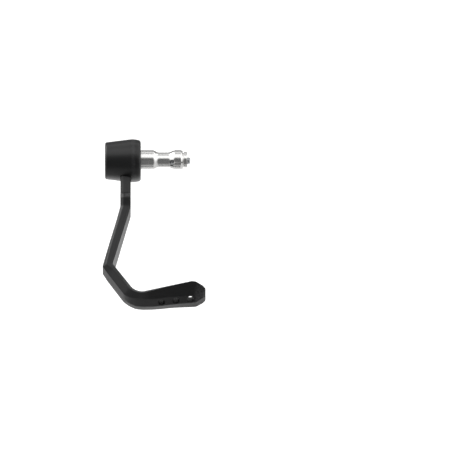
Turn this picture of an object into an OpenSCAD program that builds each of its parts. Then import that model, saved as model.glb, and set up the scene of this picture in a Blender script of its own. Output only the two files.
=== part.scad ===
// Brake lever guard for the right-hand end of a tubular handlebar, in millimetres.
// The origin lies on the handlebar axis at the inner face of the bar-end weight.
// +X runs into the handlebar, -Y runs forward along the arm's reach and +Z is up.

/* [Handlebar fit] */
// Diameter of the two lands that enter the handlebar bore
insert_diameter = 17.0; // [16:0.1:19]
// Length of the land next to the weight
first_land = 10.4; // [8:0.1:11]
// Depth of the waist between the two lands
waist_depth = 1.85; // [1:0.05:2]
// Overall length of the slotted sleeve outside the weight
sleeve_reach = 33.5; // [32:0.5:36]

/* [Bar-end weight] */
// Length of the weight along the bar axis
weight_length = 28.6; // [27:0.2:32]
// Radius of the weight at its outer face
weight_nose_radius = 14.7; // [13.5:0.1:16]
// Largest radius of the weight
weight_radius = 17.5; // [17:0.1:20]
// Radius of the weight at its inner face
weight_heel_radius = 16.2; // [15:0.1:16.8]
// Width of the broken edges of the weight
weight_edge = 1.4; // [0.6:0.1:1.8]

/* [Fixing bolt] */
// Nominal diameter of the fixing bolt
bolt_diameter = 6.0; // [5.6:0.1:6]
// Length of the bolt below its head
bolt_length = 60; // [60:0.5:62]
// Diameter of the cylindrical bolt head
head_diameter = 10; // [9.4:0.1:10.4]
// Width across the flats of the hexagon socket
socket_flats = 5; // [4:0.5:5]
// Depth of the hexagon socket
socket_depth = 3; // [2:0.1:4]
// Thickness of the plain washer
washer_thickness = 1.6; // [1.2:0.1:2]

/* [Arm] */
// Height of the arm and blade
arm_height = 19; // [17:0.5:22]
// Thickness of the arm where it enters the weight
neck_thickness = 8.2; // [7.6:0.1:8.2]
// Height of the arm where it enters the weight
neck_height = 9.8; // [9.6:0.1:10.4]
// Distance from the bar axis to the step up from the neck
step_start = 30.4; // [26:0.2:30.4]
// Forward length from that step to the crest of the shoulder
shoulder_length = 6.8; // [5:0.1:7]
// Height of the crest above the flat top of the arm
crest_rise = 2.4; // [0.5:0.1:2.8]
// Distance from the bar axis to the first bend
bend_distance = 45; // [45:0.5:60]
// Length of the long straight between the first bend and the elbow
straight_length = 51.6; // [40:0.5:80]
// Outward splay of the long straight from straight ahead
straight_splay = 15.9; // [10:0.1:20]
// Length of the straight part of the elbow
elbow_length = 26.0; // [20:0.1:40]
// Inward angle of the elbow from straight ahead
elbow_angle = 36.4; // [32:0.1:44]
// Length of the blade from its root to its tip, along the bar's direction
blade_length = 50.1; // [49:0.1:70]
// Backward slope of the blade's inner edge
blade_slope = 12.7; // [10:0.1:15]
// Diameter of the three holes in the blade
blade_hole = 5.6; // [4:0.1:6]
// Distance between neighbouring blade holes
blade_hole_pitch = 11.5; // [10.6:0.1:11.6]
// Upward tilt of the blade holes
blade_hole_tilt = 30; // [24:1:34]

/* [Fits] */
// Gap on each side between the neck and the slot in the weight
slot_gap = 0.2; // [0.1:0.05:0.4]
// Radial gap around the bolt in the weight, the arm and the sleeve
bolt_gap = 0.35; // [0.2:0.05:0.4]
// Radial gap around the washer in its counterbore
washer_gap = 0.3; // [0.2:0.05:0.5]
// Radial gap around the sleeve end in the weight
sleeve_gap = 0.9; // [0.6:0.1:1]
// Radial gap between bolt and threaded bore of the cone
thread_gap = 0.05; // [0.02:0.01:0.1]
// Gap between the cone and the mouth of the sleeve
cone_gap = 0.03; // [0.02:0.01:0.05]

/* [Hidden] */
$fn = 96;
past = 0.5;

// Weight: the slot is centred on the neck, and the bolt seat leaves a web behind the slot.
neck_inner_x = -8.0;
neck_outer_x = neck_inner_x - neck_thickness;
slot_half = neck_height / 2 + slot_gap;
seat_web = 2.4;
counterbore_floor = neck_outer_x - slot_gap - seat_web;
washer_radius = 6;
widest_at = 5.8;
tail = 2;

// Sleeve: the end that enters the weight is turned down, and the mouth is conical.
spigot_depth = 0.8;
spigot_radius = insert_diameter / 2 - 0.7;
waist_radius = insert_diameter / 2 - waist_depth;
waist_start = first_land + 3.1;
waist_end = sleeve_reach - 10.5;
second_land = sleeve_reach - 6.9;
land_end = sleeve_reach - 1.3;
mouth_radius = insert_diameter / 2 - 2.5;
mouth_depth = 9.2;
sleeve_bore = bolt_diameter / 2 + bolt_gap;
mouth_slope = (mouth_radius - sleeve_bore) / mouth_depth;
slit_width = 1.2;
slit_count = 4;
slit_angle = 55;
relief_diameter = 4.5;
relief_x = sleeve_reach - 8.2;

// Cone: a taper inside the mouth and a flange just outside it.
cone_nose = sleeve_reach - 7;
flange_start = sleeve_reach + 0.8;
flange_end = flange_start + 2.8;
flange_radius = insert_diameter / 2 - 1.6;

// Bolt
seat_x = counterbore_floor - washer_thickness;
head_height = 6;
bolt_tip = seat_x + bolt_length;
tip_length = 1.2;
tip_radius = bolt_diameter / 2 - 0.9;
head_edge = 0.5;

// Plan of the inner top edge: first bend, elbow, turn into the blade, and blade root.
half = arm_height / 2;
neck_half = neck_height / 2;
ease = 0.5;
shoulder = step_start + 0.4 * shoulder_length;
crest = step_start + shoulder_length;
saddle = crest + 0.85 * shoulder_length;
bend = [neck_inner_x, -bend_distance];
straight_way = [-sin(straight_splay), -cos(straight_splay)];
elbow = bend + straight_length * straight_way;
elbow_way = [sin(elbow_angle), -cos(elbow_angle)];
turn_in = elbow + elbow_length * elbow_way;
root = turn_in + [8.1, -3.45];
blade_way = [1, tan(blade_slope)];
tip = blade_length;
out_straight = 180 - straight_splay;
out_elbow = 180 + elbow_angle;
out_blade = 270;

// Direction of a section in the turn, from the elbow's at 0 to the blade's at 1
function turning(share) = out_elbow + share * (out_blade - out_elbow);

// Arm sections. Each row holds the plan position of the inner top edge, the direction in
// which the section runs outwards, and then, across the section: width of the eased inner
// strip, width to the end of the flat top, width and drop of the upper slope, growth of the
// outer wall down to mid height, how far it comes back at the foot, the foot chamfer, the
// position of the inner face at the bottom and at mid height, and the half height.
rows = [
    [[neck_inner_x, tail + neck_half + past], 180,
                                        1.6, 5.8, 2.4, 0.8, 0.0, 0.0, 0.8, 0.0, 0.0, neck_half],
    [[neck_inner_x, -step_start], 180,  1.6, 5.8, 2.4, 0.8, 0.0, 0.0, 0.8, 0.0, 0.0, neck_half],
    [[neck_inner_x, -shoulder], 180,    1.6, 5.8, 2.4, 1.1, 0.0, 0.0, 1.1, 0.0, 0.0,
                                        half + 0.38 * crest_rise],
    [[neck_inner_x, -crest], 180,       1.6, 5.8, 2.4, 1.3, 0.0, 0.0, 1.2, 0.0, 0.0,
                                        half + crest_rise],
    [[neck_inner_x, -saddle], 180,      1.7, 5.8, 2.4, 1.4, 0.0, 0.0, 1.3, 0.0, 0.0,
                                        half + 0.31 * crest_rise],
    [bend, (180 + out_straight) / 2,    1.8, 5.9, 2.35, 1.4, 0.0, 0.0, 1.4, 0.0, 0.0,
                                        half + 0.18 * crest_rise],
    [bend + 0.28 * straight_length * straight_way, out_straight,
                                        1.8, 5.8, 2.0, 1.6, 0.0, 0.0, 1.6, -0.3, -0.1, half],
    [bend + 0.74 * straight_length * straight_way, out_straight,
                                        1.8, 5.7, 2.0, 1.8, 0.0, 0.0, 1.6, -0.7, -0.3, half],
    [elbow, (out_straight + out_elbow) / 2,
                                        1.8, 5.4, 2.9, 3.0, 0.0, 0.0, 1.6, -1.0, -0.4, half],
    [elbow + 0.15 * elbow_length * elbow_way, out_elbow,
                                        1.4, 3.3, 4.1, 4.5, 0.4, -0.4, 1.4, -0.8, -0.3, half],
    [turn_in, turning(0.03),            1.2, 2.7, 5.1, 4.5, 0.6, -0.3, 1.4, -0.3, -0.1, half],
    [turn_in + [2.2, -1.6], turning(0.4),
                                        1.0, 2.3, 4.3, 4.5, 2.1, 0.1, 1.2, 0.0, 0.0, half],
    [turn_in + [4.6, -2.7], turning(0.74),
                                        0.9, 2.0, 3.75, 4.5, 3.1, 0.1, 1.0, 0.2, 0.0, half],
    [root, out_blade,                   0.9, 1.9, 3.15, 4.5, 3.6, 0.1, 1.0, 0.4, 0.0, half],
    [root + 0.2 * tip * blade_way, out_blade,
                                        0.6, 1.2, 5.9, 4.7, 3.5, 0.3, 1.0, 1.6, 0.6, half],
    [root + 0.5 * tip * blade_way, out_blade,
                                        0.4, 0.8, 7.4, 5.3, 4.1, 0.0, 1.0, 4.6, 2.2, half],
    [root + (tip - 10.3) * blade_way, out_blade,
                                        0.4, 0.8, 9.8, 6.0, 4.2, -0.2, 1.0, 9.8, 7.2, half],
    [root + (tip - 7.2) * blade_way + [0, -1.1], out_blade,
                                        0.4, 0.8, 9.3, 6.0, 4.2, -0.2, 1.0, 9.4, 6.6, half - 0.2],
    [root + (tip - 1.8) * blade_way + [0, -5.1], out_blade,
                                        0.4, 0.8, 5.2, 4.2, 3.0, -0.2, 0.8, 6.0, 3.6, half - 1.9],
    [root + tip * blade_way + [0, -7.1], out_blade,
                                        0.3, 0.6, 2.4, 3.0, 2.9, -0.2, 0.6, 3.4, 1.8, half - 3.2],
];

// Corner points of one section, from the inner top edge round to the inner face.
function outline(r) =
    let (t = r[3], c = t + r[4], d = c + r[6], e = d - r[7], h = r[11], waist = -0.22 * h)
    [[0, h - ease], [r[2], h], [t, h], [c, h - r[5]], [d, waist], [e, -h + r[8]],
     [e - r[8], -h], [r[9], -h], [r[10], -0.1 * h], [0, 0.45 * h]];

// A section point carried to its place on the arm.
function placed(r) = [for (p = outline(r))
    [r[0][0] + p[0] * cos(r[1]), r[0][1] + p[0] * sin(r[1]), p[1]]];

corners = 10;
points = [for (r = rows) each placed(r)];
last_row = len(rows) - 1;
skin = concat(
    [[for (i = [0 : corners - 1]) i]],
    [for (k = [0 : last_row - 1]) for (i = [0 : corners - 1])
        let (a = k * corners + i, b = k * corners + (i + 1) % corners)
        each [[a, b + corners, b], [a, a + corners, b + corners]]],
    [[for (i = [corners - 1 : -1 : 0]) last_row * corners + i]]);

// The three blade holes lie on one line across the front of the blade.
first_hole = [root[0] + 15.6, root[1] - 6.4, 1.3];
hole_turn = 6.6;
hole_cut = 2 * arm_height;

// Turns a profile drawn as [distance along X, radius] about the bar axis.
module turned(profile) {
    rotate([0, 90, 0]) rotate_extrude() polygon([for (p = profile) [p[1], p[0]]]);
}

// A round bar along X from a to b.
module rod(a, b, r) {
    translate([a, 0, 0]) rotate([0, 90, 0]) cylinder(h = b - a, r = r);
}

module guard_arm() {
    color([0.07, 0.07, 0.08]) difference() {
        polyhedron(points = points, faces = skin, convexity = 8);
        // Rounded end of the tongue
        translate([0, tail, 0]) difference() {
            translate([neck_outer_x - past, 0, -neck_height])
                cube([neck_thickness + 2 * past, neck_height, 2 * neck_height]);
            rod(neck_outer_x - 2 * past, neck_inner_x + 2 * past, neck_half);
        }
        rod(neck_outer_x - past, neck_inner_x + past, bolt_diameter / 2 + bolt_gap);
        for (i = [0 : 2])
            translate(first_hole + i * blade_hole_pitch * [cos(hole_turn), sin(hole_turn), 0])
                rotate([90 - blade_hole_tilt, 0, hole_turn])
                    cylinder(h = hole_cut, d = blade_hole, center = true);
    }
}

module bar_end_weight() {
    f = weight_edge;
    color([0.05, 0.05, 0.05]) difference() {
        turned([[-weight_length, 0], [-weight_length, weight_nose_radius - f],
                [-weight_length + 0.3 * f, weight_nose_radius - 0.3 * f],
                [-weight_length + f, weight_nose_radius],
                [-widest_at, weight_radius], [-f, weight_heel_radius],
                [-0.3 * f, weight_heel_radius - 0.3 * f], [0, weight_heel_radius - f], [0, 0]]);
        // Slot for the arm, with a rounded end above the bolt
        translate([neck_outer_x - slot_gap, -weight_radius - past, -slot_half])
            cube([neck_thickness + 2 * slot_gap, weight_radius + past + tail, 2 * slot_half]);
        translate([0, tail, 0])
            rod(neck_outer_x - slot_gap, neck_inner_x + slot_gap, slot_half);
        rod(-weight_length - past, past, bolt_diameter / 2 + bolt_gap);
        rod(-weight_length - past, counterbore_floor, washer_radius + washer_gap);
        rod(-spigot_depth, past, spigot_radius + sleeve_gap);
    }
}

module clamp_bolt() {
    r = bolt_diameter / 2;
    color([0.62, 0.62, 0.64]) difference() {
        turned([[seat_x - head_height, 0], [seat_x - head_height, head_diameter / 2 - head_edge],
                [seat_x - head_height + head_edge, head_diameter / 2], [seat_x, head_diameter / 2],
                [seat_x, r], [bolt_tip - tip_length, r], [bolt_tip, tip_radius], [bolt_tip, 0]]);
        translate([seat_x - head_height - past, 0, 0]) rotate([0, 90, 0]) rotate([0, 0, 30])
            linear_extrude(socket_depth + past)
                polygon([for (i = [0 : 5])
                    socket_flats / (2 * cos(30)) * [cos(60 * i), sin(60 * i)]]);
    }
}

module bolt_washer() {
    color([0.7, 0.7, 0.72]) difference() {
        rod(seat_x, counterbore_floor, washer_radius);
        rod(seat_x - past, counterbore_floor + past, bolt_diameter / 2 + bolt_gap);
    }
}

module expander_sleeve() {
    land = insert_diameter / 2;
    color([0.8, 0.8, 0.79]) difference() {
        turned([[-spigot_depth, sleeve_bore], [-spigot_depth, spigot_radius], [0, spigot_radius],
                [0, land], [first_land, land], [waist_start, waist_radius],
                [waist_end, waist_radius], [second_land, land], [land_end, land],
                [sleeve_reach, land - 0.9], [sleeve_reach, mouth_radius],
                [sleeve_reach - mouth_depth, sleeve_bore]]);
        // Lengthwise slits with a round relief hole at each root
        for (i = [0 : slit_count - 1]) rotate([-slit_angle - i * 360 / slit_count, 0, 0]) {
            translate([relief_x, -insert_diameter, -slit_width / 2])
                cube([sleeve_reach, insert_diameter, slit_width]);
            translate([relief_x, 0, 0]) rotate([90, 0, 0])
                cylinder(h = insert_diameter, d = relief_diameter);
        }
    }
}

module expander_cone() {
    at = function (x) mouth_radius + (x - sleeve_reach) * mouth_slope - cone_gap;
    bore = bolt_diameter / 2 + thread_gap;
    color([0.78, 0.78, 0.77])
        turned([[cone_nose, bore], [cone_nose, at(cone_nose)], [flange_start, at(flange_start)],
                [flange_start, flange_radius], [flange_end - 0.5, flange_radius],
                [flange_end, flange_radius - 0.5], [flange_end, bore]]);
}

guard_arm();
bar_end_weight();
clamp_bolt();
bolt_washer();
expander_sleeve();
expander_cone();
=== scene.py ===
"""Brake lever guard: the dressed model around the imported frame.

All lengths below are written in millimetres and scaled once by MM. The pieces are grids worked
out with numpy: turned profiles, helical threads, and the arm's sections carried along its path.
"""
import math
import bmesh
import bpy
import numpy as np
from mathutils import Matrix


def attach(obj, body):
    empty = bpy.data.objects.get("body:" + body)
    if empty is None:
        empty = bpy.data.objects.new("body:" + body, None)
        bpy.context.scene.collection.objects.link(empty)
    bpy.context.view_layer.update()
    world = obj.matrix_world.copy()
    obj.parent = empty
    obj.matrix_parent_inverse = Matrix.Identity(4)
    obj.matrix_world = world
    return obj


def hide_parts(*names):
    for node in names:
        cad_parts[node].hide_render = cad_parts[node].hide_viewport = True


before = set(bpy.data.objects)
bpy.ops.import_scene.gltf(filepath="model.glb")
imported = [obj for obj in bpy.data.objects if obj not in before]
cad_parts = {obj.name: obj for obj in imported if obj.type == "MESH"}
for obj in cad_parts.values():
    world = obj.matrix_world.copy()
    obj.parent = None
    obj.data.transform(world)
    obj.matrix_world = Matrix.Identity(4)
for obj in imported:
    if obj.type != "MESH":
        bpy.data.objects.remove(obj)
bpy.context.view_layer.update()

MM = 0.001
# How far past the end of an eased corner its supporting point lies, in millimetres
support = 0.15
# Edges that turn by more than this shade sharp
sharp_angle = math.radians(32)
scene = bpy.context.scene


def shares(span, reach):
    """Shares of a side at which the easing ends, and at which its supporting point lies."""
    span = np.maximum(span, 1e-9)
    share = np.minimum(reach / span, 0.48)
    return share, share + np.minimum(support / span, (0.5 - share) / 2)


def rounded(points, reach, steps=6):
    """Closed outlines with eased corners. points is (..., n, k): n corners in k dimensions.

    Each corner c is swapped for the quadratic curve (1-t)^2 a + 2t(1-t) c + t^2 b, where a and b
    lie on the two sides next to it, reach away from it and never past 0.48 of a side. One more
    point lies past a and past b, so that the flat between two corners shades flat.
    """
    reach = np.broadcast_to(np.asarray(reach, float), points.shape[:-1])[..., None]

    def towards(shift):
        side = np.roll(points, shift, axis=-2) - points
        share, past = shares(np.linalg.norm(side, axis=-1, keepdims=True), reach)
        return points + side * share, points + side * past

    (a, lead), (b, tail_end), t = towards(1), towards(-1), np.linspace(0, 1, steps)[:, None]
    curve = ((1 - t) ** 2 * a[..., None, :] + 2 * t * (1 - t) * points[..., None, :]
             + t ** 2 * b[..., None, :])
    curve = np.concatenate([lead[..., None, :], curve, tail_end[..., None, :]], axis=-2)
    return curve.reshape(points.shape[:-2] + (-1, points.shape[-1]))


def crease(steps):
    """Mask of one eased corner: half a sine over its curve, and 0 on the points past its ends."""
    return np.pad(np.sin(np.linspace(0, math.pi, steps)), 1)


def eased_path(net, reach, steps=7):
    """A net of stations (s, n, 3) with its interior stations eased along the path.

    The same quadratic curve as in rounded, run from station to station, with the reach in
    millimetres given per station. The first and last stations stay as they are.
    """
    span = np.linalg.norm(np.diff(net, axis=0), axis=2)[..., None]
    reach = np.asarray(reach, float)[1:-1, None, None]
    here = net[1:-1]
    share_a, past_a = shares(span[:-1], reach)
    share_b, past_b = shares(span[1:], reach)
    to_last, to_next = net[:-2] - here, net[2:] - here
    back, fore = here + to_last * share_a, here + to_next * share_b
    t = np.linspace(0, 1, steps)[None, :, None, None]
    curve = (1 - t) ** 2 * back[:, None] + 2 * t * (1 - t) * here[:, None] + t ** 2 * fore[:, None]
    curve = np.concatenate([(here + to_last * past_a)[:, None], curve,
                            (here + to_next * past_b)[:, None]], axis=1)
    return np.concatenate([net[:1], curve.reshape((-1,) + net.shape[1:]), net[-1:]])


def mesh_object(name, points, faces, edge=None):
    """An object at the origin from points in millimetres and faces given as index rows."""
    mesh = bpy.data.meshes.new(name)
    mesh.from_pydata((points * MM).tolist(), [], [f for block in faces for f in block.tolist()])
    mesh.update()
    mesh.shade_smooth()
    if edge is not None:
        mesh.attributes.new("edge", "FLOAT", "POINT").data.foreach_set("value", edge.astype(float))
    piece = bpy.data.objects.new(name, mesh)
    scene.collection.objects.link(piece)
    return piece


def skin(rings, wrap_rows=False, caps=(None, None)):
    """Points and faces of a tube: rings is (rows, n, 3) and every ring closes on itself.

    Face (i, j) joins ring i and i+1 at j and j+1. With wrap_rows the last ring joins the first.
    Otherwise each end is closed by a fan of triangles to a point given in caps, or to the mean
    of its ring.
    """
    rows, n = rings.shape[:2]
    index = np.arange(rows * n).reshape(rows, n)
    if wrap_rows:
        index = np.vstack([index, index[:1]])
    a, b = index[:-1], index[1:]
    quads = np.stack([a, np.roll(a, -1, 1), np.roll(b, -1, 1), b], axis=-1).reshape(-1, 4)
    points = rings.reshape(-1, 3)
    if wrap_rows:
        return points, [quads]
    tips = [rings[k].mean(axis=0) if c is None else np.asarray(c, float)
            for k, c in zip((0, -1), caps)]
    points = np.vstack([points, tips])
    first, last, start, end = index[0], index[-1], rows * n, rows * n + 1
    fan_a = np.stack([np.roll(first, -1), first, np.full(n, start)], axis=-1)
    fan_b = np.stack([last, np.roll(last, -1), np.full(n, end)], axis=-1)
    return points, [quads, fan_a, fan_b]


def spun(x, r, turn):
    """Points at distance x along the bar axis and r from it, at the angles turn from -Y to +Z."""
    return np.stack([np.broadcast_to(x, r.shape), -r * np.cos(turn), r * np.sin(turn)], axis=-1)


def turned(name, profile, reach, around=160, steps=6):
    """A closed profile of [x, radius] corners, eased and spun about the bar axis."""
    outline = rounded(np.array(profile, float), np.array(reach, float), steps)
    turn = np.linspace(0, 2 * math.pi, around, endpoint=False)
    rings = spun(outline[:, :1], outline[:, 1:] + 0 * turn, turn)
    points, faces = skin(rings, wrap_rows=True)
    soft = np.tile(crease(steps), len(profile))
    return mesh_object(name, points, faces, np.repeat(soft, around))


def thread(x, turn, pitch, depth):
    """Radial loss of a single-start thread: a triangle wave of x/pitch less turn/2pi, cut flat."""
    wave = np.abs(((x / pitch - turn / (2 * math.pi)) % 1.0) * 2 - 1)
    return depth * np.clip(wave * 1.25 - 0.12, 0, 1)


def carved(piece, *cutters):
    """piece less the cutters, taken one by one and applied to its mesh."""
    for cutter in cutters:
        step = piece.modifiers.new("cut", "BOOLEAN")
        step.operation, step.solver, step.object = "DIFFERENCE", "EXACT", cutter
        graph = bpy.context.evaluated_depsgraph_get()
        mesh = bpy.data.meshes.new_from_object(piece.evaluated_get(graph))
        piece.modifiers.clear()
        piece.data = mesh
        bpy.data.objects.remove(cutter)
    piece.data.set_sharp_from_angle(angle=sharp_angle)
    return piece


def block(name, low, high):
    """A box cutter between two corners."""
    x, y, z = [np.array([a, b]) for a, b in zip(low, high)]
    loop = np.array([[x[0], y[0]], [x[1], y[0]], [x[1], y[1]], [x[0], y[1]]])
    rings = np.stack([np.column_stack([loop, np.full(4, h)]) for h in z])
    return mesh_object(name, *skin(rings))


def rod(name, start, end, radii, at=(0.0, 1.0), around=64):
    """A round cutter from start to end, with the given radii at the given shares of its length."""
    start, end = np.array(start, float), np.array(end, float)
    axis = (end - start) / np.linalg.norm(end - start)
    side = np.cross(axis, [0.3, 0.2, 0.93])
    side /= np.linalg.norm(side)
    turn = np.linspace(0, 2 * math.pi, around, endpoint=False)[:, None]
    circle = np.cos(turn) * side + np.sin(turn) * np.cross(axis, side)
    at, radii = np.array(at)[:, None, None], np.array(radii)[:, None, None]
    rings = start + at * (end - start) + radii * circle
    return mesh_object(name, *skin(rings))


def outwards(piece):
    """Turns every face of a closed piece outwards, after its doubles are merged."""
    shell = bmesh.new()
    shell.from_mesh(piece.data)
    bmesh.ops.remove_doubles(shell, verts=shell.verts, dist=1e-7)
    bmesh.ops.recalc_face_normals(shell, faces=shell.faces)
    shell.to_mesh(piece.data)
    shell.free()
    piece.data.set_sharp_from_angle(angle=sharp_angle)
    return piece


# Sizes of the fitted parts, as in the CAD model: radii and half widths, and distances along
# the bar axis from the weight's inner face.
insert_radius = 8.5
neck_outer, neck_inner = -16.2, -8.0
neck_half, slot_half, tail = 4.9, 5.1, 2.0
floor_x, seat_x = -18.8, -20.4
bolt_radius, bolt_tip = 3.0, 39.6
clear_radius = 3.35
thread_pitch, thread_depth = 1.0, 0.6
# Distance between the rings of points along a thread
thread_step = 0.09
half = 9.5


def arm_net():
    """The arm's stations as a net (station, 10 corners, 3), the easing along it, and the root.

    Each row gives the plan position of the inner top edge, the direction in degrees in which the
    section runs outwards, and the section's numbers across: inner strip, flat top, upper slope
    and its drop, growth of the outer wall, tuck and chamfer at the foot, inner face at the
    bottom and at mid height, and the half height. The root is the blade's first plan position.
    """
    def way(angle):
        return np.array([math.sin(math.radians(angle)), -math.cos(math.radians(angle))])

    # Bend, long run, elbow, short run, turn-in, and the blade from its root to its tip
    bend = np.array([neck_inner, -45.0])
    along, across = way(-15.9), way(36.4)
    long_run, short_run = 51.6, 26.0
    elbow = bend + long_run * along
    turn_in = elbow + short_run * across
    root = turn_in + [8.1, -3.45]
    blade = np.array([1.0, math.tan(math.radians(12.7))])
    tip = 50.1
    # Square to the two runs
    out_a, out_b = 164.1, 216.4

    def turning(share):
        return out_b + share * (270 - out_b)

    # Rounded end of the tongue: a quarter turn of radius neck_half about the bolt
    swing = np.radians(np.linspace(80, 0, 8))
    tongue = [([neck_inner, tail + neck_half * math.sin(a)], 180, 1.6, 5.8, 2.4, 0.8 * math.cos(a),
               0.0, 0.0, 0.8 * math.cos(a), 0.0, 0.0, neck_half * math.cos(a)) for a in swing]
    rows = tongue + [
        ([neck_inner, -30.4], 180, 1.6, 5.8, 2.4, 0.8, 0.0, 0.0, 0.8, 0.0, 0.0, neck_half),
        ([neck_inner, -33.12], 180, 1.6, 5.8, 2.4, 1.1, 0.0, 0.0, 1.1, 0.0, 0.0, half + 0.91),
        ([neck_inner, -37.2], 180, 1.6, 5.8, 2.4, 1.3, 0.0, 0.0, 1.2, 0.0, 0.0, half + 2.4),
        ([neck_inner, -42.98], 180, 1.7, 5.8, 2.4, 1.4, 0.0, 0.0, 1.3, 0.0, 0.0, half + 0.74),
        (bend, (180 + out_a) / 2, 1.8, 5.9, 2.35, 1.4, 0.0, 0.0, 1.4, 0.0, 0.0, half + 0.43),
        (bend + 0.28 * long_run * along, out_a,
         1.8, 5.8, 2.0, 1.6, 0.0, 0.0, 1.6, -0.3, -0.1, half),
        (bend + 0.74 * long_run * along, out_a,
         1.8, 5.7, 2.0, 1.8, 0.0, 0.0, 1.6, -0.7, -0.3, half),
        (elbow, (out_a + out_b) / 2, 1.8, 5.4, 2.9, 3.0, 0.0, 0.0, 1.6, -1.0, -0.4, half),
        (elbow + 0.15 * short_run * across, out_b,
         1.4, 3.3, 4.1, 4.5, 0.4, -0.4, 1.4, -0.8, -0.3, half),
        (turn_in, turning(0.03), 1.6, 2.7, 5.1, 4.5, 0.6, -0.3, 1.4, -0.3, -0.1, half),
        (turn_in + [2.2, -1.6], turning(0.4), 1.8, 2.3, 4.3, 4.5, 2.1, 0.1, 1.2, 0.0, 0.0, half),
        (turn_in + [4.6, -2.7], turning(0.74), 1.8, 2.0, 3.75, 4.5, 3.1, 0.1, 1.0, 0.2, 0.0, half),
        (root, 270, 1.8, 1.9, 3.15, 4.5, 3.6, 0.1, 1.0, 0.4, 0.0, half),
        (root + 0.2 * tip * blade, 270, 1.4, 1.5, 5.9, 4.7, 3.5, 0.3, 1.0, 1.6, 0.6, half),
        (root + 0.5 * tip * blade, 270, 0.7, 0.8, 7.4, 5.3, 4.1, 0.0, 1.0, 4.6, 2.2, half),
        (root + (tip - 10.3) * blade, 270, 0.4, 0.8, 9.8, 6.0, 3.8, -0.6, 1.0, 9.8, 7.2, half),
        (root + (tip - 7.2) * blade + [0, -1.1], 270,
         0.4, 0.8, 9.3, 6.0, 3.8, -0.6, 1.0, 9.4, 6.6, half - 0.2),
        (root + (tip - 1.8) * blade + [0, -5.1], 270,
         0.4, 0.8, 5.2, 4.2, 2.3, -0.9, 0.8, 6.0, 3.6, half - 1.9),
        (root + tip * blade + [0, -7.1], 270,
         0.3, 0.6, 2.4, 3.0, 2.2, -0.9, 0.6, 3.4, 1.8, half - 3.2)]
    place = np.array([r[0] for r in rows], float)
    turn = np.radians([r[1] for r in rows])
    strip, top, slope, drop, swell, tuck, foot, bottom, mid, h = np.array(
        [r[2:] for r in rows], float).T
    zero = np.zeros_like(h)
    c = top + slope
    d = c + swell
    e = d - tuck
    # Height of the outer wall's ridge as a share of h: it climbs round the tip
    ridge = np.full_like(h, -0.22)
    ridge[-6:] = [-0.2, -0.15, -0.1, -0.06, 0.2, 0.22]
    # The inner strip falls away gently on the neck and more steeply past the bend
    dip = strip * np.where(np.arange(len(h)) < 12, 0.2, 0.55) * np.minimum(1, h / 2)
    u = np.stack([zero, strip, top, c, d, e, e - foot, bottom, mid, zero], axis=1)
    z = np.stack([h - dip, h, h, h - drop, ridge * h, -h + foot,
                  -h, -h, -0.1 * h, 0.45 * h], axis=1)
    x = place[:, :1] + u * np.cos(turn)[:, None]
    y = place[:, 1:] + u * np.sin(turn)[:, None]
    # Reach of the easing along the path, station by station, in millimetres
    ease = np.concatenate([np.full(8, 0.3), [0.5, 0.7, 0.9, 1.0, 0.9, 4, 4, 0.9, 1.8, 1.6, 1.4,
                                             1.4, 2.5, 7, 6, 1.3, 1.2, 0.8, 1.0]])
    return np.stack([x, y, z], axis=-1), ease, root


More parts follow.
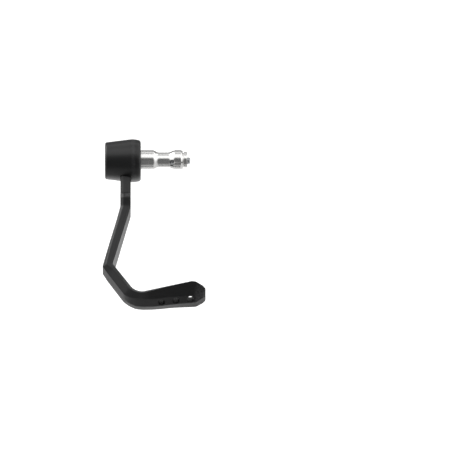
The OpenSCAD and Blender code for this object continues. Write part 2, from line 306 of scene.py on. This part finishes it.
def guard_arm():
    """One moulding: the eased net, its sections eased in turn, less the bolt and blade holes."""
    net, ease, root = arm_net()
    path = eased_path(net, ease)
    # Last stations: the tip's end face drawn in to a rounded edge, as shares of the way to its
    # middle and as steps forward
    end = path[-1]
    middle = end.mean(axis=0)
    lip = np.stack([end + (middle - end) * k + np.array([1.0, 0.25, 0]) * s
                    for k, s in ((0.04, 0.16), (0.12, 0.29), (0.25, 0.36))])
    path = np.concatenate([path, lip])
    # Corner by corner: the reach of its easing, and how much its edge is rubbed and lightened by a
    # painted edge sheen
    reach = np.array([0.3, 0.7, 0.6, 0.45, 0.6, 0.5, 0.5, 0.4, 3.0, 3.0])
    rub_and_sheen = 0.7 * np.array([0.3, 0.0, 0.6, 0.9, 0.1, 0.8, 0.7, 0.8, 0.0, 0.2])
    steps = 6
    rings = rounded(path, np.broadcast_to(reach, path.shape[:2]), steps)
    points, faces = skin(rings)
    # Painted highlights in the same mask, lighter bands where the surface would catch light: the
    # rise to the crest, the edge of the tip, and the inner strip from the elbow's far end to the
    # middle of the blade. Each is a share per ring of points times a share per corner.
    rise = np.interp(-path[:, 1, 1], [32.6, 33.4, 36.4, 37.2], [0, 1, 1, 0])
    tip = np.interp(path[:, 1, 0] - root[0], [37, 45, 50], [0, 1, 1])
    strip = np.interp(path[:, 1, 0] - root[0], [-24, -12, 12, 30], [0, 0.95, 0.9, 0])
    past_elbow = path[:, 1, 1] < root[1] + 22
    strip = strip * past_elbow
    # Rubbed edges with a painted edge sheen along every corner, then the painted highlights over
    # them
    edge = np.outer(np.ones(len(path)), np.outer(rub_and_sheen, crease(steps)))
    for along, corners in ((rise, [0, 1, 0.6, 0, 0, 0, 0, 0, 0, 0]),
                           (tip, [0, 0.6, 0.72, 1, 1, 0, 0, 0, 0, 0]),
                           (strip, [1, 1, 0, 0, 0, 0, 0, 0, 0, 0])):
        edge = np.maximum(edge, np.outer(along, np.repeat(corners, steps + 2)))
    edge = np.concatenate([edge.ravel(), [0, 0]])
    piece = outwards(mesh_object("arm_moulding", points, faces, edge))
    # The blade's holes rise by tilt towards the front, in a row that turns with the blade
    tilt, turn = math.radians(29), math.radians(6.6)
    axis = np.array([math.sin(turn) * math.cos(tilt), -math.cos(turn) * math.cos(tilt),
                     math.sin(tilt)])
    step = 11.5 * np.array([math.cos(turn), math.sin(turn), 0])
    first = np.array([root[0] + 15.6, root[1] - 6.4, 1.3])
    behind, before = 20, 4
    holes = []
    for k in range(3):
        mouth = first + k * step
        # A straight bore that widens a little just inside its mouth in the front face
        holes.append(outwards(rod("hole", mouth - behind * axis, mouth + before * axis,
                                  [2.8, 2.8, 2.83, 2.92, 3.0, 3.6],
                                  np.array([0, 19.6, 19.8, 19.98, 20.12, 24])
                                  / (behind + before))))
    bore = outwards(rod("bore", [neck_outer - 1, 0, 0], [neck_inner + 1, 0, 0],
                        [clear_radius, clear_radius]))
    return carved(piece, bore, *holes)


def bar_end_weight():
    """A turned body with its counterbores in the profile, less the arm's rounded slot."""
    piece = outwards(turned("bar_end_body", [
        [floor_x, clear_radius], [floor_x, 6.3], [-28.6, 6.3], [-28.6, 14.7], [-5.8, 17.5],
        [0, 16.2], [0, 8.7], [-0.8, 8.7], [-0.8, clear_radius]],
        [0.1, 0.15, 0.5, 1.7, 3.2, 1.9, 0.25, 0.1, 0.2], around=256, steps=8))
    slot = outwards(block("slot", [neck_outer - 0.2, -20, -slot_half],
                          [neck_inner + 0.2, tail, slot_half]))
    end = outwards(rod("slot_end", [neck_outer - 0.2, tail, 0], [neck_inner + 0.2, tail, 0],
                       [slot_half, slot_half], around=96))
    return carved(piece, slot, end)


def clamp_bolt():
    """Rows of radii along the bar axis, spun: hexagon socket, head, shank, thread and tip.

    In the socket the radius at angle a is that of a hexagon, flats / 2 / cos(a mod 60 - 30),
    and on the thread it is the shank's less a triangle wave that climbs one pitch per turn.
    """
    turn = np.linspace(0, 2 * math.pi, 192, endpoint=False)
    hexagon = 2.5 / np.cos((turn + math.pi / 6) % (math.pi / 3) - math.pi / 6)
    head = seat_x - 6
    socket = [(head + 3.4, 0.25), (head + 3.0, 0.985), (head + 2.9, 1.0), (head + 0.35, 1.0)]
    rows = [(x, k * hexagon) for x, k in socket]
    profile = [(head + 0.12, 2.95), (head, 3.1), (head, 4.2), (head + 0.04, 4.45),
               (head + 0.16, 4.7), (head + 0.4, 4.9), (head + 0.75, 5.0), (seat_x - 0.4, 5.0),
               (seat_x - 0.1, 4.9), (seat_x, 4.7), (seat_x, 3.2), (seat_x + 0.1, 3.05),
               (seat_x + 0.3, 3.0), (10.0, 3.0)]
    rows += [(x, r + 0 * turn) for x, r in profile]
    thread_start, run_in = 11.0, 2.0
    x = np.arange(thread_start, bolt_tip - 0.9, thread_step)[:, None]
    fade = np.clip((x - thread_start) / run_in, 0, 1)
    cut = bolt_radius - fade * thread(x, turn, thread_pitch, thread_depth)
    tip_x = np.array([-0.8, -0.5, -0.25, -0.1, 0.0])[:, None] + bolt_tip
    tip_r = np.array([2.7, 2.45, 2.2, 1.9, 1.4])[:, None] + 0 * turn
    tip_r[:2] = np.minimum(tip_r[:2], bolt_radius
                           - thread(tip_x[:2], turn, thread_pitch, thread_depth))
    xs = np.concatenate([[[v] for v, _ in rows], x, tip_x]) + 0 * turn
    rs = np.concatenate([np.array([r for _, r in rows]), cut, tip_r])
    points, faces = skin(spun(xs, rs, turn),
                         caps=([head + 3.5, 0, 0], [bolt_tip, 0, 0]))
    return outwards(mesh_object("clamp_screw", points, faces))


def bolt_washer():
    return outwards(turned("plain_washer", [[seat_x, clear_radius], [seat_x, 6.0],
                                            [floor_x, 6.0], [floor_x, clear_radius]],
                           [0.2, 0.35, 0.25, 0.2], around=128))


def expander_sleeve():
    """A turned tube with eased lands, less four slits, each with a round relief hole."""
    r = insert_radius
    piece = turned("turned_sleeve", [
        [-0.8, clear_radius], [-0.8, 7.8], [0, 7.8], [0, r], [10.4, r], [13.5, 6.65],
        [23.0, 6.65], [26.6, r], [32.2, r], [33.5, 7.6], [33.5, 6.0], [24.3, clear_radius]],
        [0.2, 0.2, 0.08, 0.12, 0.9, 1.2, 1.4, 1.2, 0.5, 0.35, 0.3, 0.6], around=256, steps=7)
    outwards(piece)
    slit_start, past_end, past_skin = np.array([25.3, 0, 0]), np.array([40, 0, 0]), 12
    slit_half, relief_radius = 0.6, 2.25
    cuts = []
    for k in range(4):
        a = math.radians(55 + 90 * k)
        out = past_skin * np.array([0, -math.cos(a), math.sin(a)])
        side = slit_half * np.array([0, math.sin(a), math.cos(a)])
        loop = np.array([-side, side, side + out, out - side])
        slit = np.stack([loop + slit_start, loop + past_end])
        cuts.append(outwards(mesh_object("slit", *skin(slit))))
        cuts.append(outwards(rod("relief", slit_start, slit_start + out,
                                 [relief_radius, relief_radius], around=72)))
    return carved(piece, *cuts)


def expander_cone():
    """A ring with the taper and flange outside and a thread of one pitch per turn inside."""
    # Slope of the sleeve's mouth, and the cone's radius where the mouth starts at x = 33.5
    slope, mouth_radius = (6.0 - clear_radius) / 9.2, 5.97
    wide, narrow = 3.6, 3.05
    outside = rounded(np.array([
        [26.5, wide], [26.5, mouth_radius - 7.0 * slope], [34.3, mouth_radius + 0.8 * slope],
        [34.3, 6.9], [37.1, 6.9], [37.1, wide]]), np.array([0.1, 0.3, 0.15, 0.25, 0.45, 0.1]), 6)
    turn = np.linspace(0, 2 * math.pi, 160, endpoint=False)
    thread_end, thread_start, run_in = 36.9, 26.7, 0.6
    x = np.arange(thread_end, thread_start, -thread_step)[:, None]
    fade = np.clip(np.minimum(thread_end - x, x - thread_start) / run_in, 0, 1)
    inner = (wide + (narrow - wide) * fade
             + fade * thread(x, turn, thread_pitch, thread_depth))
    xs = np.concatenate([outside[:, :1] + 0 * turn, x + 0 * turn])
    rs = np.concatenate([outside[:, 1:] + 0 * turn, inner])
    points, faces = skin(spun(xs, rs, turn), wrap_rows=True)
    return outwards(mesh_object("threaded_cone", points, faces))


# Materials. Every effect shared by several of them is a node group.

def wire(tree, node_type, **values):
    """A node with its inputs set by name, or linked where the value is a socket."""
    node = tree.nodes.new(node_type)
    for key, value in values.items():
        if key in ("operation", "data_type", "noise_dimensions", "attribute_name",
                   "interpolation_type"):
            setattr(node, key, value)
    for key, value in values.items():
        name = key.replace("_", " ")
        target = node.inputs[int(key[1:])] if key[0] == "i" and key[1:].isdigit() else (
            node.inputs.get(name))
        if target is None:
            continue
        if isinstance(value, bpy.types.NodeSocket):
            tree.links.new(value, target)
        else:
            target.default_value = value
    return node


def group(name, inputs, output, kind="NodeSocketFloat"):
    """An empty shader node group with float inputs (name: default) and one output."""
    tree = bpy.data.node_groups.new(name, "ShaderNodeTree")
    for label, value in inputs.items():
        socket = tree.interface.new_socket(label, in_out="INPUT", socket_type="NodeSocketFloat")
        socket.default_value = value
    tree.interface.new_socket(output, in_out="OUTPUT", socket_type=kind)
    return tree, tree.nodes.new("NodeGroupInput"), tree.nodes.new("NodeGroupOutput")


def grain_group():
    """Height of a fine surface grain: a fine and a coarse noise mixed by the coarse share."""
    tree, given, out = group("fine_grain", {"Scale": 2500.0, "Coarse share": 0.35}, "Grain")
    where = tree.nodes.new("ShaderNodeTexCoord").outputs["Object"]
    fine = wire(tree, "ShaderNodeTexNoise", Vector=where, Scale=given.outputs["Scale"],
                Detail=3.0, Roughness=0.6)
    slow = wire(tree, "ShaderNodeMath", operation="MULTIPLY", i0=given.outputs["Scale"], i1=0.35)
    coarse = wire(tree, "ShaderNodeTexNoise", Vector=where, Scale=slow.outputs[0], Detail=2.0)
    both = wire(tree, "ShaderNodeMix", data_type="FLOAT", i0=given.outputs["Coarse share"],
                i2=fine.outputs[0], i3=coarse.outputs[0])
    tree.links.new(both.outputs[0], out.inputs[0])
    return tree


def turning_group():
    """Height of lathe rings: a wave of x alone, broken up by noise that also runs along x."""
    tree, given, out = group("turning_marks", {"Rings per metre": 9000.0}, "Rings")
    where = tree.nodes.new("ShaderNodeTexCoord").outputs["Object"]
    split = wire(tree, "ShaderNodeSeparateXYZ", Vector=where)
    along = wire(tree, "ShaderNodeMath", operation="MULTIPLY", i0=split.outputs[0],
                 i1=given.outputs["Rings per metre"])
    noise = wire(tree, "ShaderNodeTexNoise", noise_dimensions="1D", W=along.outputs[0],
                 Scale=1.0, Detail=2.0, Roughness=0.55)
    tree.links.new(noise.outputs[0], out.inputs[0])
    return tree


def wear_and_highlight_group():
    """Mask of rubbed edges and, on the arm, of painted highlights and edge sheen: the piece's edge
    attribute times a patchy noise, sharpened.
    """
    tree, given, out = group("edge_wear_and_highlight", {"Amount": 0.5, "Scale": 950.0}, "Wear")
    where = tree.nodes.new("ShaderNodeTexCoord").outputs["Object"]
    edge = wire(tree, "ShaderNodeAttribute", attribute_name="edge")
    patch = wire(tree, "ShaderNodeTexNoise", Vector=where, Scale=given.outputs["Scale"], Detail=4.0)
    mask = wire(tree, "ShaderNodeMath", operation="MULTIPLY", i0=edge.outputs["Fac"],
                i1=patch.outputs[0])
    sharp = wire(tree, "ShaderNodeMapRange", Value=mask.outputs[0])
    sharp.inputs["From Min"].default_value, sharp.inputs["From Max"].default_value = 0.25, 0.6
    scaled = wire(tree, "ShaderNodeMath", operation="MULTIPLY", i0=sharp.outputs[0],
                  i1=given.outputs["Amount"])
    tree.links.new(scaled.outputs[0], out.inputs[0])
    return tree


GRAIN, RINGS, WEAR_AND_HIGHLIGHT = grain_group(), turning_group(), wear_and_highlight_group()


def use(tree, shared, **values):
    """A group node in a material's tree, with its numbers set."""
    node = tree.nodes.new("ShaderNodeGroup")
    node.node_tree = shared
    for key, value in values.items():
        node.inputs[key.replace("_", " ")].default_value = value
    return node.outputs[0]


def material(name, colour, rough, metallic=0.0, specular=0.5, grain=None, rings=None, wear_and_highlight=None,
             rough_span=0.06):
    """A Principled material. grain is (scale, bump in millimetres, share of its coarse octave),
    rings is (scale, bump in millimetres), and the edge pair is (amount, colour of rubbed edges,
    which on the nylon arm also paints highlights and edge sheen). Roughness swings by rough_span
    with the last height field."""
    made = bpy.data.materials.new(name)
    made.use_nodes = True
    tree = made.node_tree
    shader = tree.nodes["Principled BSDF"]
    shader.inputs["Base Color"].default_value = (*colour, 1)
    shader.inputs["Metallic"].default_value = metallic
    shader.inputs["Specular IOR Level"].default_value = specular
    height = normal = None
    for shared, numbers in ((RINGS, rings), (GRAIN, grain)):
        if numbers is None:
            continue
        if shared is GRAIN:
            height = use(tree, shared, Scale=numbers[0], Coarse_share=numbers[2])
        else:
            height = use(tree, shared, Rings_per_metre=numbers[0])
        bump = wire(tree, "ShaderNodeBump", Height=height, Strength=1.0,
                    Distance=numbers[1] * MM)
        if normal is not None:
            tree.links.new(normal, bump.inputs["Normal"])
        normal = bump.outputs[0]
    tree.links.new(normal, shader.inputs["Normal"])
    spread = wire(tree, "ShaderNodeMapRange", Value=height)
    spread.inputs["From Min"].default_value, spread.inputs["From Max"].default_value = 0.3, 0.7
    spread.inputs["To Min"].default_value = rough - rough_span
    spread.inputs["To Max"].default_value = rough + rough_span
    tree.links.new(spread.outputs[0], shader.inputs["Roughness"])
    # Rubbed edges, and on the arm painted highlights and edge sheen, in the lighter edge colour
    if wear_and_highlight is not None:
        mix = wire(tree, "ShaderNodeMix", data_type="RGBA", i0=use(tree, WEAR_AND_HIGHLIGHT, Amount=wear_and_highlight[0]),
                   i6=(*colour, 1), i7=(*wear_and_highlight[1], 1))
        tree.links.new(mix.outputs[2], shader.inputs["Base Color"])
    return made


# The nylon's lighter edge colour paints the highlights on the arm's step, tip and inner strip as
# well as its rubbed edges
nylon = material("glass_filled_nylon", (0.0095, 0.0095, 0.01), 0.41, specular=0.46,
                 grain=(1900.0, 0.04, 0.6), wear_and_highlight=(0.8, (0.07, 0.07, 0.072)))
black = material("black_anodised", (0.010, 0.010, 0.0105), 0.33,
                 rings=(7000.0, 0.0035), grain=(5000.0, 0.004, 0.35),
                 wear_and_highlight=(0.5, (0.05, 0.05, 0.052)))
zinc = material("zinc_steel", (0.60, 0.61, 0.62), 0.30, metallic=1.0,
                rings=(6000.0, 0.003), grain=(6000.0, 0.003, 0.35))
passivated = material("washer_steel", (0.56, 0.56, 0.57), 0.34, metallic=1.0,
                      grain=(3500.0, 0.005, 0.35))
bright = material("turned_aluminium", (0.91, 0.905, 0.895), 0.22, metallic=1.0,
                  rings=(9000.0, 0.004), grain=(7000.0, 0.002, 0.35),
                  wear_and_highlight=(0.5, (0.96, 0.955, 0.95)))

for make, node, slot, finish in (
        (guard_arm, "guard_arm", "arm_nylon", nylon),
        (bar_end_weight, "bar_end_weight", "weight_black", black),
        (clamp_bolt, "clamp_bolt", "bolt_steel", zinc),
        (bolt_washer, "bolt_washer", "washer_steel", passivated),
        (expander_sleeve, "expander_sleeve", "turned_aluminium", bright),
        (expander_cone, "expander_cone", "turned_aluminium", bright)):
    piece = make()
    piece.data.materials.clear()
    piece.data.materials.append(finish)
    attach(piece, "root")
    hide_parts(node)
    print(node, len(piece.data.polygons))


def studio_world():
    """A bright surround with a soft dark zone high in front, and two low panels at the back.

    The level depends on the world direction d alone. Its dot product with the dark zone's middle
    goes through two curves, one for the front half and one for the back half, and these are mixed
    by a smoothstep of d's y. Each panel adds its strength times a smoothstep of the dot product of
    d with the panel's direction. Camera and transmission rays see plain white.
    """
    world = bpy.data.worlds.new("studio")
    scene.world = world
    world.use_nodes = True
    tree = world.node_tree
    tree.nodes.clear()
    way = tree.nodes.new("ShaderNodeTexCoord").outputs["Generated"]

    def facing(direction):
        unit = np.array(direction, float) / np.linalg.norm(direction)
        return wire(tree, "ShaderNodeVectorMath", operation="DOT_PRODUCT", i0=way,
                    i1=tuple(unit)).outputs["Value"]

    def ramp(value, stops):
        node = wire(tree, "ShaderNodeFloatCurve", Value=value)
        curve = node.mapping.curves[0]
        node.mapping.use_clip = True
        node.mapping.clip_min_x = -1
        for place, level in stops[1:-1]:
            curve.points.new(place, level)
        curve.points[0].location, curve.points[-1].location = stops[0], stops[-1]
        node.mapping.update()
        return node.outputs[0]

    # Places on the curves run from straight away (-1) to the dark zone's middle (1)
    toward = facing((0, -0.559, 0.829))
    front = ramp(toward, [(-1, 1.0), (0.1, 0.75), (0.47, 0.62), (0.643, 0.49), (0.766, 0.32),
                          (0.83, 0.16), (1, 0.14)])
    back = ramp(toward, [(-1, 0.5), (-0.62, 0.85), (-0.46, 0.95), (-0.34, 0.62), (-0.12, 0.62),
                         (0.02, 0.95), (0.26, 1.15),
                         (0.57, 1.15), (0.68, 0.9), (0.743, 0.5), (0.788, 0.24),
                         (0.829, 0.1), (1, 0.08)])
    split = wire(tree, "ShaderNodeSeparateXYZ", Vector=way)
    share = wire(tree, "ShaderNodeMapRange", interpolation_type="SMOOTHSTEP",
                 Value=split.outputs[1])
    share.inputs["From Min"].default_value, share.inputs["From Max"].default_value = -0.5, 0.1
    level = wire(tree, "ShaderNodeMix", data_type="FLOAT", i0=share.outputs[0], i2=front,
                 i3=back).outputs[0]
    for direction, low, strength in (((-0.75, 0.62, 0.16), 0.80, 3.0),
                                     ((0.75, 0.62, 0.16), 0.80, 0.6)):
        panel = wire(tree, "ShaderNodeMapRange", interpolation_type="SMOOTHSTEP",
                     Value=facing(direction))
        panel.inputs["From Min"].default_value, panel.inputs["From Max"].default_value = low, 0.93
        panel.inputs["To Max"].default_value = strength
        level = wire(tree, "ShaderNodeMath", operation="ADD", i0=level,
                     i1=panel.outputs[0]).outputs[0]
    light = tree.nodes.new("ShaderNodeLightPath")
    seen = wire(tree, "ShaderNodeMath", operation="MAXIMUM", i0=light.outputs["Is Camera Ray"],
                i1=light.outputs["Is Transmission Ray"])
    final = wire(tree, "ShaderNodeMix", data_type="FLOAT", i0=seen.outputs[0], i2=level, i3=1.0)
    glow = wire(tree, "ShaderNodeBackground", Strength=final.outputs[0])
    glow.inputs["Color"].default_value = (1, 1, 1, 1)
    out = tree.nodes.new("ShaderNodeOutputWorld")
    tree.links.new(glow.outputs[0], out.inputs[0])


def pale_floor(drop, lift):
    """A pale matt floor under the part, drop metres below the bar axis. Camera and transmission
    rays see it lifted to white by a little emission, glossy rays see that lift only around the
    blade, and it keeps the part's shadow.
    """
    reach = 6.0 / MM
    points = np.array([[x, y, -drop / MM] for x in (-reach, reach) for y in (-reach, reach)])
    floor = mesh_object("floor_plane", points, [np.array([[0, 2, 3, 1]])])
    made = bpy.data.materials.new("pale_floor")
    made.use_nodes = True
    tree = made.node_tree
    shader = tree.nodes["Principled BSDF"]
    shader.inputs["Roughness"].default_value = 1.0
    shader.inputs["Specular IOR Level"].default_value = 0.0
    light = tree.nodes.new("ShaderNodeLightPath")
    where = tree.nodes.new("ShaderNodeTexCoord").outputs["Object"]
    # In reflections the floor is darker behind the part, which outlines the bright sleeve
    behind = wire(tree, "ShaderNodeMapRange", interpolation_type="SMOOTHSTEP",
                  Value=wire(tree, "ShaderNodeSeparateXYZ", Vector=where).outputs[1])
    behind.inputs["From Min"].default_value, behind.inputs["From Max"].default_value = 0.12, 0.26
    dark = wire(tree, "ShaderNodeMath", operation="MULTIPLY", i0=behind.outputs[0],
                i1=light.outputs["Is Glossy Ray"])
    tone = wire(tree, "ShaderNodeMix", data_type="RGBA", i0=dark.outputs[0],
                i6=(0.78, 0.78, 0.78, 1), i7=(0.3, 0.3, 0.3, 1))
    tree.links.new(tone.outputs[2], shader.inputs["Base Color"])
    # In reflections the lift is strongest under the blade and fades out around it
    away = wire(tree, "ShaderNodeVectorMath", operation="DISTANCE",
                i0=where, i1=(0.03, -0.12, -drop))
    near = wire(tree, "ShaderNodeMapRange", interpolation_type="SMOOTHSTEP",
                Value=away.outputs["Value"])
    near.inputs["From Min"].default_value, near.inputs["From Max"].default_value = 0.2, 0.1
    near.inputs["To Max"].default_value = 1.5
    mirrored = wire(tree, "ShaderNodeMath", operation="MULTIPLY", i0=near.outputs[0],
                    i1=light.outputs["Is Glossy Ray"])
    seen = wire(tree, "ShaderNodeMath", operation="MAXIMUM", i0=light.outputs["Is Camera Ray"],
                i1=mirrored.outputs[0])
    seen = wire(tree, "ShaderNodeMath", operation="MAXIMUM", i0=seen.outputs[0],
                i1=light.outputs["Is Transmission Ray"])
    glow = wire(tree, "ShaderNodeMath", operation="MULTIPLY", i0=seen.outputs[0], i1=lift)
    shader.inputs["Emission Color"].default_value = (1, 1, 1, 1)
    tree.links.new(glow.outputs[0], shader.inputs["Emission Strength"])
    floor.data.materials.append(made)


def camera():
    """At the photograph's angle: 65 degrees up, 12.5 m away, with a long lens and no shift.

    The frame is 0.36 m wide, 36 mm of sensor times 12.5 m over 1.25 m of lens.
    """
    lens = bpy.data.cameras.new("view")
    lens.lens, lens.sensor_width = 1250, 36
    distance = 12.5
    body = bpy.data.objects.new("view", lens)
    scene.collection.objects.link(body)
    rise = math.radians(65)
    target = np.array([0.06736, -0.04655, -0.02171])
    body.location = target + distance * np.array([0, -math.cos(rise), math.sin(rise)])
    body.rotation_euler = (math.pi / 2 - rise, 0, 0)
    scene.camera = body


studio_world()
pale_floor(0.2, 0.62)
camera()
scene.view_settings.view_transform = "Standard"
